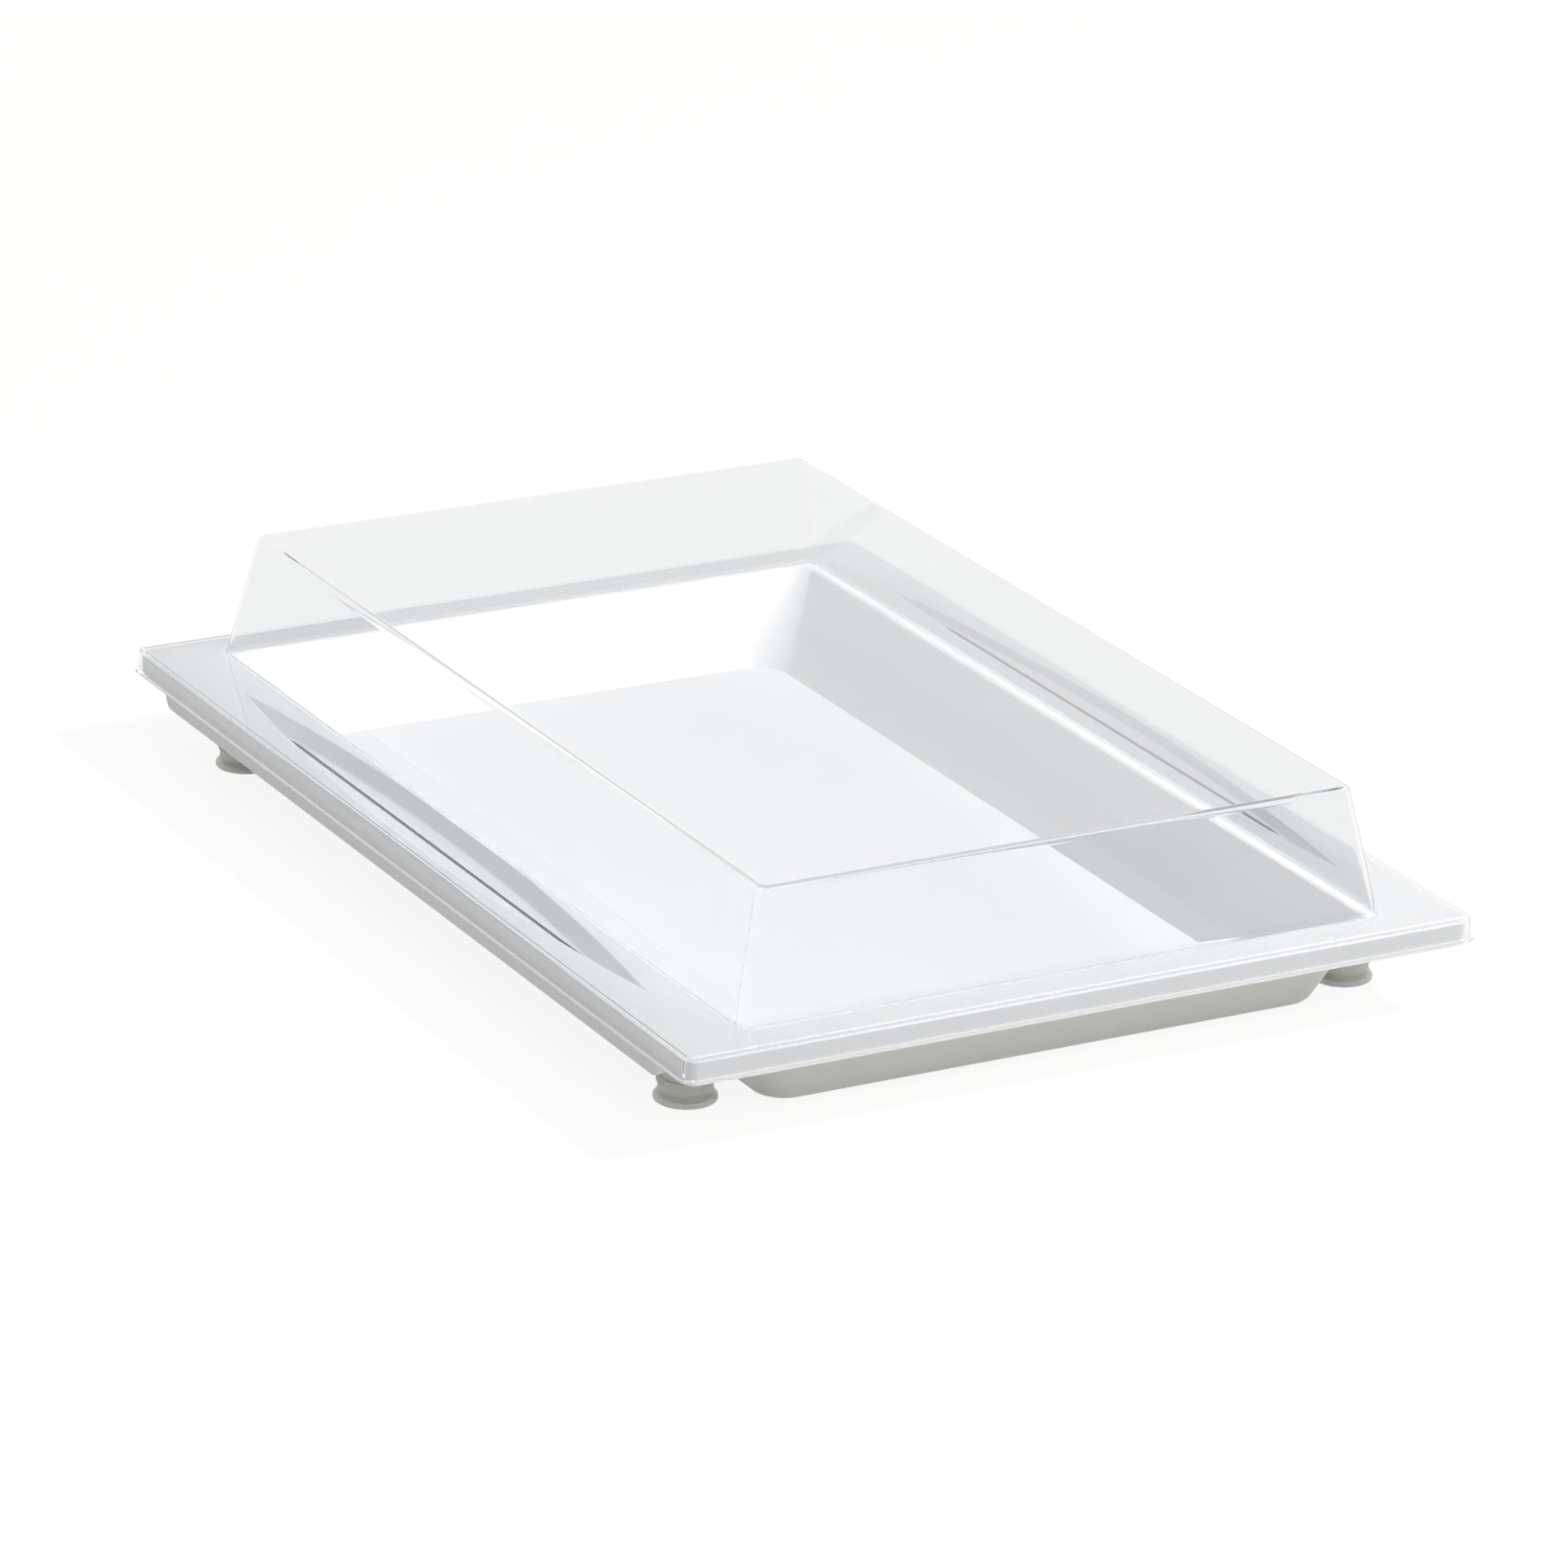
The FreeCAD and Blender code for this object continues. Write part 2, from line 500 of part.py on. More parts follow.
def make_dome(doc):
    """Mould the clear cover: flange, turned-down skirt with a lip, and the raised dome."""
    body = doc.addObject("PartDesign::Body", "dome")
    body.Label = "dome"

    outline = rectangle_sketch(
        body, "CoverOutline", COVER_TOP, "Sizes.cover_width", "Sizes.cover_length", "Sizes.cover_corner",
    )
    pad(body, "CoverBlock", outline, "Sizes.skirt_drop", False)
    lip = rectangle_sketch(
        body, "LipOutline", COVER_TOP + " - Sizes.skirt_drop",
        "Sizes.cover_width + 2 * Sizes.lip_reach", "Sizes.cover_length + 2 * Sizes.lip_reach",
        "Sizes.cover_corner + Sizes.lip_reach",
    )
    pad(body, "Lip", lip, "Sizes.lip_depth", True)

    # Outside of the dome
    base = rectangle_sketch(body, "DomeBase", COVER_TOP, DOME_WIDTH, DOME_LENGTH, "Sizes.dome_corner")
    crown = rectangle_sketch(
        body, "DomeCrown", COVER_TOP + " + Sizes.dome_rise",
        CROWN_WIDTH, CROWN_LENGTH, "Sizes.dome_corner",
    )
    raised = loft(body, "DomeOutside", "AdditiveLoft", base, crown)
    doc.recompute()
    edges = edges_at(raised.Shape, crown.Placement.Base.z, *sketch_half_sizes(crown))
    rounded = round_edges(body, "DomeEdge", raised, edges, "Sizes.dome_edge_round")
    doc.recompute()
    edges = edges_at(rounded.Shape, base.Placement.Base.z, *sketch_half_sizes(base))
    round_edges(body, "DomeRoot", rounded, edges, "Sizes.dome_root_round")

    # Inside, one wall thickness in
    inner = "2 * Sizes.cover_wall"
    socket = rectangle_sketch(
        body, "SkirtInside", TRAY_TOP,
        "Sizes.cover_width - " + inner, "Sizes.cover_length - " + inner,
        "Sizes.cover_corner - Sizes.cover_wall",
    )
    pocket(body, "SkirtHollow", socket, "Sizes.skirt_drop", False)
    slope_x = "2 * Sizes.dome_side_lean / Sizes.dome_rise"
    slope_y = "2 * Sizes.dome_end_lean / Sizes.dome_rise"
    mouth = rectangle_sketch(
        body, "DomeMouth", TRAY_TOP,
        DOME_WIDTH + " - " + inner + " + Sizes.cover_wall * " + slope_x,
        DOME_LENGTH + " - " + inner + " + Sizes.cover_wall * " + slope_y,
        "Sizes.dome_corner - Sizes.cover_wall",
    )
    ceiling = rectangle_sketch(
        body, "DomeCeiling", COVER_TOP + " + Sizes.dome_rise - Sizes.cover_wall",
        CROWN_WIDTH + " - " + inner + " + Sizes.cover_wall * " + slope_x,
        CROWN_LENGTH + " - " + inner + " + Sizes.cover_wall * " + slope_y,
        "Sizes.dome_corner - Sizes.cover_wall",
    )
    hollow = loft(body, "DomeInside", "SubtractiveLoft", mouth, ceiling)
    doc.recompute()
    edges = edges_at(hollow.Shape, ceiling.Placement.Base.z, *sketch_half_sizes(ceiling))
    round_edges(body, "DomeInnerEdge", hollow, edges, "Sizes.dome_edge_round - Sizes.cover_wall")
    doc.recompute()
    return body


def foot_corners():
    """List the corners of half a foot's outline, as formulas for x and z."""
    disc = "Sizes.foot_disc_width / 2"
    neck = "Sizes.foot_neck_width / 2"
    plug = "Sizes.plug_width / 2"
    plug_top = "Sizes.foot_stand + Sizes.plug_length"
    return [
        ("0", "0"),
        (disc, "0"),
        (disc, "Sizes.foot_disc_edge"),
        (neck, "Sizes.foot_neck_rise"),
        (neck, "Sizes.foot_stand"),
        (plug, "Sizes.foot_stand"),
        (plug, plug_top),
        ("0", plug_top),
    ]


def foot_outline(sketch):
    """Draw half a foot: disc, flare, neck and plug."""
    corners = foot_corners()
    points = [FreeCAD.Vector(measure(sketch, x), measure(sketch, z), 0) for x, z in corners]
    following = points[1:] + points[:1]
    lines = []
    for start, end in zip(points, following):
        lines.append(sketch.addGeometry(Part.LineSegment(start, end), False))
    for index, (across, up) in enumerate(corners):
        line = lines[index]
        sketch.addConstraint(Sketcher.Constraint("Coincident", lines[index - 1], 2, line, 1))
        if across == "0":
            sketch.addConstraint(Sketcher.Constraint("PointOnObject", line, 1, -2))
        else:
            distance = Sketcher.Constraint("DistanceX", -1, 1, line, 1, points[index].x)
            set_size(sketch, "across%d" % index, distance, across)
        if up == "0":
            sketch.addConstraint(Sketcher.Constraint("PointOnObject", line, 1, -1))
        else:
            distance = Sketcher.Constraint("DistanceY", -1, 1, line, 1, points[index].y)
            set_size(sketch, "up%d" % index, distance, up)


def make_foot(doc, name, side_x, side_y):
    """Turn one soft foot about its upright axis and stand it under its post."""
    body = doc.addObject("PartDesign::Body", name)
    body.Label = name
    sketch = new_sketch(body, name + "_outline", "XZ_Plane", (None, None, None))
    foot_outline(sketch)
    turn(body, name + "_turned", "Revolution", sketch, "V_Axis")
    body.setExpression("Placement.Base.x", ("" if side_x > 0 else "-") + FOOT_X)
    body.setExpression("Placement.Base.y", ("" if side_y > 0 else "-") + FOOT_Y)
    return body


def check(doc, bodies):
    """Stop if any object failed or any piece is not one sound solid."""
    for item in doc.Objects:
        if "Invalid" in item.State or "Error" in item.State:
            raise RuntimeError("%s: %s" % (item.Name, item.State))
    for body in bodies:
        shape = body.Shape
        if shape.isNull() or not shape.isValid() or len(shape.Solids) != 1:
            raise RuntimeError("%s is not one sound solid" % body.Label)


def main():
    doc = FreeCAD.newDocument("CoveredTray")
    make_sheet(doc)
    bodies = [make_tray(doc), make_dome(doc)]
    for side_x, side_y, name in (
        (-1, -1, "foot_front_left"),
        (1, -1, "foot_front_right"),
        (-1, 1, "foot_back_left"),
        (1, 1, "foot_back_right"),
    ):
        bodies.append(make_foot(doc, name, side_x, side_y))
    doc.recompute()
    check(doc, bodies)
    os.makedirs("parts", exist_ok=True)
    for body in bodies:
        body.Shape.exportStep(os.path.join("parts", body.Label + ".step"))
        box = body.Shape.BoundBox
        print(body.Label, "volume %.1f" % body.Shape.Volume, "z %.2f to %.2f" % (box.ZMin, box.ZMax))


main()
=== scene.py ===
import logging
import math
from dataclasses import dataclass
from enum import Enum

import bmesh
import bpy
from mathutils import Matrix, Vector


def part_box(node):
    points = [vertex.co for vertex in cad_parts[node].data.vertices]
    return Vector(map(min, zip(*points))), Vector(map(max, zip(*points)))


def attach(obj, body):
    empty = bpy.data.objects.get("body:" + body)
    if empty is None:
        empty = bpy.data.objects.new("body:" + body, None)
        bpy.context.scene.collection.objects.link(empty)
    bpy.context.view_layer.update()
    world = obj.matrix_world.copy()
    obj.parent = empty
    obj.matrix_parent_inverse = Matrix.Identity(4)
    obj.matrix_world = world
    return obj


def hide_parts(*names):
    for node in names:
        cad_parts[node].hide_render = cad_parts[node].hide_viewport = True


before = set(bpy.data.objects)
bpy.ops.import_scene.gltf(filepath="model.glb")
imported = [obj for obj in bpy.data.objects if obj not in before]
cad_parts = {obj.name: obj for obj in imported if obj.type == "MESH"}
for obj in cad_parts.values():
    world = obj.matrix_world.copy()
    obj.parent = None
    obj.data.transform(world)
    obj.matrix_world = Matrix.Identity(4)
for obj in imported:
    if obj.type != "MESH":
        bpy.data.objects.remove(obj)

# Covered tray: white moulded tray on four soft feet under a clear dome cover. Lengths are in
# metres; X runs across the short side, Y along the long side and Z up from the ground.

LOG = logging.getLogger("covered_tray")
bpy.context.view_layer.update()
# NEAR tells whether points coincide; SLIVER keeps a cutter's rim just clear of the face it cuts.
NEAR = 1e-6
SLIVER = 1.5e-5
QUARTER = math.pi / 2


class Body(Enum):
    """The bodies that pieces ride on."""

    TRAY = "tray"
    DOME = "dome"


class Slot(Enum):
    """The material slots."""

    TRAY = "tray_plastic"
    CLEAR = "clear_plastic"
    FOOT = "foot_rubber"


class Shade:
    """A value in a shader, with the arithmetic of Math nodes."""

    def __init__(self, bench: "ShaderBench", socket: bpy.types.NodeSocket) -> None:
        """Wrap an output socket.

        Args:
            bench: The bench whose tree the socket belongs to.
            socket: The output socket.
        """
        self.bench = bench
        self.socket = socket

    def _math(self, operation: str, first: object, second: object) -> "Shade":
        """Add one Math node.

        Args:
            operation: The node's operation.
            first: The first value or shade.
            second: The second value or shade.

        Returns:
            The node's result.
        """
        return self.bench.add("ShaderNodeMath", {"operation": operation}, {0: first, 1: second})

    def __add__(self, other: object) -> "Shade":
        """Add."""
        return self._math("ADD", self, other)

    __radd__ = __add__

    def __sub__(self, other: object) -> "Shade":
        """Subtract."""
        return self._math("SUBTRACT", self, other)

    def __rsub__(self, other: object) -> "Shade":
        """Subtract this from a number."""
        return self._math("SUBTRACT", other, self)

    def __mul__(self, other: object) -> "Shade":
        """Multiply."""
        return self._math("MULTIPLY", self, other)

    __rmul__ = __mul__

    def above(self, other: object) -> "Shade":
        """Give 1 where this is larger and 0 elsewhere."""
        return self._math("GREATER_THAN", self, other)

    def maximum(self, other: object) -> "Shade":
        """Take the larger of two values."""
        return self._math("MAXIMUM", self, other)

    def minimum(self, other: object) -> "Shade":
        """Take the smaller of two values."""
        return self._math("MINIMUM", self, other)


class ShaderBench:
    """One node tree under construction."""

    def __init__(self, tree: bpy.types.NodeTree) -> None:
        """Empty the tree.

        Args:
            tree: The node tree of a material or of the world.
        """
        self.tree = tree
        tree.nodes.clear()

    def add(self, kind: str, settings: dict, sockets: dict, output: object = 0) -> Shade | None:
        """Add a node, set its properties first and then its sockets.

        Args:
            kind: The node's type.
            settings: Properties by name.
            sockets: Values or shades by input name or index.
            output: The name or index of the output to hand back.

        Returns:
            The chosen output, or None where the node has no outputs.
        """
        node = self.tree.nodes.new(kind)
        for name, value in settings.items():
            setattr(node, name, value)
        for name, value in sockets.items():
            if isinstance(value, Shade):
                self.tree.links.new(value.socket, node.inputs[name])
            else:
                node.inputs[name].default_value = value
        return Shade(self, node.outputs[output]) if len(node.outputs) else None

    def coordinates(self) -> Shade:
        """Give the object coordinates."""
        return self.add("ShaderNodeTexCoord", {}, {}, "Object")

    def light_path(self, fact: str) -> Shade:
        """Give one fact about the ray.

        Args:
            fact: The name of the output, such as "Ray Depth".

        Returns:
            The fact.
        """
        return self.add("ShaderNodeLightPath", {}, {}, fact)

    def looked_at(self) -> Shade:
        """Give 1 where the eye, a reflection or a refraction looks, and 0 for scattered light."""
        seen = self.light_path("Is Camera Ray")
        seen = seen.maximum(self.light_path("Is Glossy Ray"))
        return seen.maximum(self.light_path("Is Transmission Ray"))

    def noise(self, scale: float, detail: float) -> Shade:
        """Give a noise value.

        Args:
            scale: Ripples per metre.
            detail: The noise's detail.

        Returns:
            The noise's height, about 0.5.
        """
        sockets = {"Vector": self.coordinates(), "Scale": scale, "Detail": detail}
        return self.add("ShaderNodeTexNoise", {}, sockets, 0)

    def blend(self, share: object, first: tuple, second: tuple) -> Shade:
        """Mix two colours.

        Args:
            share: How much of the second colour shows.
            first: The first colour.
            second: The second colour.

        Returns:
            The mixed colour.
        """
        sockets = {0: share, 6: first, 7: second}
        return self.add("ShaderNodeMix", {"data_type": "RGBA"}, sockets, 2)

    def bump(self, height: Shade, distance: float, strength: float) -> Shade:
        """Turn a height into a normal.

        Args:
            height: The height from 0 to 1.
            distance: What a height of 1 stands for.
            strength: The share of the bump that shows.

        Returns:
            The normal.
        """
        sockets = {"Height": height, "Distance": distance, "Strength": strength}
        return self.add("ShaderNodeBump", {}, sockets, 0)

    def finish_surface(self, shader: Shade, volume: Shade | None = None) -> None:
        """Join the last shader to the output.

        Args:
            shader: The surface shader.
            volume: The volume shader, where the material has one.
        """
        sockets = {"Surface": shader}
        if volume is not None:
            sockets["Volume"] = volume
        self.add("ShaderNodeOutputMaterial", {}, sockets)


@dataclass(frozen=True)
class MouldedWhite:
    """White moulded plastic with a soft gloss, a very fine mould texture and faint handling marks."""

    colour: tuple = (0.86, 0.863, 0.865, 1.0)
    shaded_colour: tuple = (0.82, 0.826, 0.833, 1.0)
    roughness: float = 0.3
    roughness_swing: float = 0.12
    grain_per_metre: float = 900.0
    grain_detail: float = 2.0
    grain_height: float = 0.00002
    grain_strength: float = 0.5
    clouds_per_metre: float = 6.0
    clouds_detail: float = 3.0
    index: float = 1.5
    depth_share: float = 0.08
    depth: tuple = (0.004, 0.004, 0.0038)

    def make(self) -> bpy.types.Material:
        """Build the material."""
        material = bpy.data.materials.new("moulded_white")
        material.use_nodes = True
        bench = ShaderBench(material.node_tree)
        clouds = bench.noise(self.clouds_per_metre, self.clouds_detail)
        grain = bench.noise(self.grain_per_metre, self.grain_detail)
        sockets = {
            "Base Color": bench.blend(clouds, self.colour, self.shaded_colour),
            "Roughness": clouds * self.roughness_swing + (self.roughness - self.roughness_swing / 2),
            "Normal": bench.bump(grain, self.grain_height, self.grain_strength),
            "IOR": self.index,
            "Subsurface Weight": self.depth_share,
            "Subsurface Radius": self.depth,
            "Subsurface Scale": 1.0,
        }
        bench.finish_surface(bench.add("ShaderNodeBsdfPrincipled", {}, sockets))
        return material


@dataclass(frozen=True)
class ClearSheet:
    """Clear formed plastic: it bends and mirrors light, and its thickness is faintly cool grey.

    Light from lamps goes straight through it. So does a ray past the deepest bounce, which keeps
    the long paths inside the edges from ending in black.
    """

    tint: tuple = (0.94, 0.944, 0.95, 1.0)
    worn_tint: tuple = (0.915, 0.92, 0.928, 1.0)
    index: float = 1.49
    scuff_per_metre: float = 40.0
    scuff_detail: float = 5.0
    scuff_roughness: float = 0.02
    volume_colour: tuple = (0.72, 0.80, 0.86, 1.0)
    volume_density: float = 9.0
    deepest: float = 4.5
    straight_tint: tuple = (0.98, 0.983, 0.987, 1.0)

    def make(self) -> bpy.types.Material:
        """Build the material."""
        material = bpy.data.materials.new("clear_sheet")
        material.use_nodes = True
        bench = ShaderBench(material.node_tree)
        scuffs = bench.noise(self.scuff_per_metre, self.scuff_detail)
        sockets = {
            "Base Color": bench.blend(scuffs, self.tint, self.worn_tint),
            "Roughness": scuffs * self.scuff_roughness,
            "Transmission Weight": 1.0,
            "IOR": self.index,
        }
        clear = bench.add("ShaderNodeBsdfPrincipled", {}, sockets)
        passing = bench.add("ShaderNodeBsdfTransparent", {}, {"Color": self.straight_tint})
        deep = bench.light_path("Ray Depth").above(self.deepest)
        straight = bench.light_path("Is Shadow Ray").maximum(deep)
        shader = bench.add("ShaderNodeMixShader", {}, {0: straight, 1: clear, 2: passing})
        absorbed = {"Color": self.volume_colour, "Density": self.volume_density}
        bench.finish_surface(shader, bench.add("ShaderNodeVolumeAbsorption", {}, absorbed))
        return material


@dataclass(frozen=True)
class SoftFoot:
    """Translucent soft rubber, grey-cream, with a satin skin."""

    colour: tuple = (0.93, 0.925, 0.885, 1.0)
    dusty_colour: tuple = (0.86, 0.855, 0.80, 1.0)
    roughness: float = 0.28
    roughness_swing: float = 0.15
    mottle_per_metre: float = 220.0
    mottle_detail: float = 4.0
    mottle_height: float = 0.0002
    mottle_strength: float = 0.3
    clear_share: float = 0.35
    index: float = 1.42
    depth_share: float = 0.4
    depth: tuple = (0.006, 0.006, 0.005)

    def make(self) -> bpy.types.Material:
        """Build the material."""
        material = bpy.data.materials.new("soft_foot")
        material.use_nodes = True
        bench = ShaderBench(material.node_tree)
        mottle = bench.noise(self.mottle_per_metre, self.mottle_detail)
        sockets = {
            "Base Color": bench.blend(mottle, self.colour, self.dusty_colour),
            "Roughness": mottle * self.roughness_swing + self.roughness,
            "Normal": bench.bump(mottle, self.mottle_height, self.mottle_strength),
            "Transmission Weight": self.clear_share,
            "IOR": self.index,
            "Subsurface Weight": self.depth_share,
            "Subsurface Radius": self.depth,
            "Subsurface Scale": 1.0,
        }
        bench.finish_surface(bench.add("ShaderNodeBsdfPrincipled", {}, sockets))
        return material


@dataclass(frozen=True)
class Ring:
    """One level outline of a skin, centred on an upright axis: a rounded rectangle or a circle.

    A circle is a ring whose half sizes both equal its corner radius.
    """

    half_x: float
    half_y: float
    corner: float
    height: float

    def place(self, side_x: float, side_y: float, unit_x: float, unit_y: float) -> Vector:
        """Give a point of the outline.

        Args:
            side_x: -1 or 1, the side of the corner.
            side_y: -1 or 1, the end of the corner.
            unit_x: Direction from the corner's centre, across.
            unit_y: Direction from the corner's centre, along.

        Returns:
            The point.
        """
        x = side_x * (self.half_x - self.corner) + unit_x * self.corner
        y = side_y * (self.half_y - self.corner) + unit_y * self.corner
        return Vector((x, y, self.height))

    def carry(self, point: Vector, before: "Ring") -> Vector:
        """Move a point of another outline to the matching place on this one.

        Args:
            point: The point.
            before: The outline that the point lies on.

        Returns:
            The matching point.
        """
        side_x, side_y = math.copysign(1.0, point.x), math.copysign(1.0, point.y)
        unit_x = (point.x - side_x * (before.half_x - before.corner)) / before.corner
        unit_y = (point.y - side_y * (before.half_y - before.corner)) / before.corner
        return self.place(side_x, side_y, unit_x, unit_y)

    def holds(self, point: Vector) -> bool:
        """Tell whether a point lies on the outline."""
        beyond_x = max(abs(point.x) - (self.half_x - self.corner), 0.0)
        beyond_y = max(abs(point.y) - (self.half_y - self.corner), 0.0)
        off = abs(math.hypot(beyond_x, beyond_y) - self.corner)
        return off < NEAR and abs(point.z - self.height) < NEAR


@dataclass(frozen=True)
class Leaf:
    """One level outline of a scoop: two equal arcs that meet in a point at each end."""

    sweep: float
    centre: float
    height: float

    def place(self, side_x: float, side_y: float, unit_x: float, unit_y: float) -> Vector:
        """Give a point of the outline.

        Args:
            side_x: -1 or 1, the arc.
            side_y: -1 or 1, the end; not used, as unit_y already tells it.
            unit_x: Not needed, as the arc gives the place across.
            unit_y: The place along, from -1 at one point to 1 at the other.

        Returns:
            The point.
        """
        y = unit_y * math.sqrt(self.sweep ** 2 - self.centre ** 2)
        x = side_x * (math.sqrt(self.sweep ** 2 - y ** 2) - self.centre)
        return Vector((x, y, self.height))

    def carry(self, point: Vector, before: "Leaf") -> Vector:
        """Move a point of another leaf to the matching place on this one.

        Args:
            point: The point.
            before: The leaf that the point lies on.

        Returns:
            The matching point.
        """
        reach = math.sqrt(before.sweep ** 2 - before.centre ** 2)
        side_x = math.copysign(1.0, point.x)
        return self.place(side_x, 1.0, 0.0, max(-1.0, min(1.0, point.y / reach)))

    def holds(self, point: Vector) -> bool:
        """Tell whether a point lies on the outline."""
        off = abs(math.hypot(abs(point.x) + self.centre, point.y) - self.sweep)
        return off < NEAR and abs(point.z - self.height) < NEAR


Outline = Ring | Leaf


class Skin:
    """A closed skin grown ring by ring, whose ring edges can be rounded afterwards."""

    def __init__(self, rings: list[Outline], per_corner: int) -> None:
        """Grow the skin from its first ring to its last and close both ends.

        Args:
            rings: The outlines in order.
            per_corner: Points on each quarter turn.
        """
        self.mesh = bmesh.new()
        start = bmesh.ops.create_circle(
            self.mesh, cap_ends=True, radius=1.0, segments=4 * per_corner
        )
        for index, vert in enumerate(start["verts"]):
            quarter, step = divmod(index, per_corner)
            angle = QUARTER * (quarter + step / (per_corner - 1))
            side_x = -1.0 if quarter in (1, 2) else 1.0
            side_y = -1.0 if quarter in (2, 3) else 1.0
            vert.co = rings[0].place(side_x, side_y, math.cos(angle), math.sin(angle))
        edges = list(self.mesh.edges)
        for before, ring in zip(rings, rings[1:]):
            grown = bmesh.ops.extrude_edge_only(self.mesh, edges=edges)["geom"]
            for vert in grown:
                if isinstance(vert, bmesh.types.BMVert):
                    vert.co = ring.carry(vert.co, before)
            edges = [e for e in grown if isinstance(e, bmesh.types.BMEdge) and e.is_boundary]
        bmesh.ops.edgeloop_fill(self.mesh, edges=edges)
        bmesh.ops.remove_doubles(self.mesh, verts=self.mesh.verts, dist=NEAR)
        bmesh.ops.recalc_face_normals(self.mesh, faces=self.mesh.faces)

    def round_ring(self, ring: Outline, radius: float, segments: int) -> None:
        """Round the edges that lie on a ring.

        Args:
            ring: The outline.
            radius: The radius of the round.
            segments: The number of flats in it.
        """
        edges = [e for e in self.mesh.edges if all(ring.holds(v.co) for v in e.verts)]
        longest = max(edges, key=lambda edge: edge.calc_length())
        offset = radius * math.tan(longest.calc_face_angle() / 2)
        bmesh.ops.bevel(
            self.mesh, geom=edges, offset=offset, offset_type="OFFSET", affect="EDGES",
            segments=segments, profile=0.5, material=-1,
        )


def make_object(name: str, mesh: bmesh.types.BMesh) -> bpy.types.Object:
    """Turn a bmesh into an object of the scene and free it.

    Args:
        name: The object's name.
        mesh: The bmesh.

    Returns:
        The object, at the origin.
    """
    data = bpy.data.meshes.new(name)
    mesh.to_mesh(data)
    mesh.free()
    made = bpy.data.objects.new(name, data)
    bpy.context.scene.collection.objects.link(made)
    return made


def smooth(piece: bpy.types.Object, sharpest: float) -> None:
    """Shade a piece smooth, with flats kept flat and edges past an angle kept sharp.

    Args:
        piece: The piece.
        sharpest: The angle between faces, in radians, from which an edge stays sharp.
    """
    piece.data.shade_smooth()
    piece.data.set_sharp_from_angle(angle=sharpest)
    weighted = piece.modifiers.new("flats", "WEIGHTED_NORMAL")
    weighted.keep_sharp = True
    weighted.mode = "FACE_AREA"


def cut_or_join(piece: bpy.types.Object, tools: list[bpy.types.Object], operation: str) -> None:
    """Cut tools from a piece or join them to it, and remove the tools.

    Args:
        piece: The piece.
        tools: The objects to combine with it.
        operation: DIFFERENCE or UNION.
    """
    for tool in tools:
        modifier = piece.modifiers.new("tool", "BOOLEAN")
        modifier.operation = operation
        modifier.solver = "EXACT"
        modifier.object = tool
    evaluated = piece.evaluated_get(bpy.context.evaluated_depsgraph_get())
    combined = bpy.data.meshes.new_from_object(evaluated)
    piece.modifiers.clear()
    old = piece.data
    piece.data = combined
    bpy.data.meshes.remove(old)
    for tool in tools:
        bpy.data.meshes.remove(tool.data)


def dress(
    piece: bpy.types.Object, finish: bpy.types.Material, body: Body, node: str
) -> None:
    """Give a piece its finish and its body, and hide the node that it stands for.

    Args:
        piece: The piece.
        finish: Its material.
        body: The body that it rides on.
        node: The node that it replaces.
    """
    piece.data.materials.clear()
    piece.data.materials.append(finish)
    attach(piece, body.value)
    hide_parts(node)
    LOG.info("%s stands for %s on %s: %d faces", piece.name, node, body.value, len(piece.data.polygons))


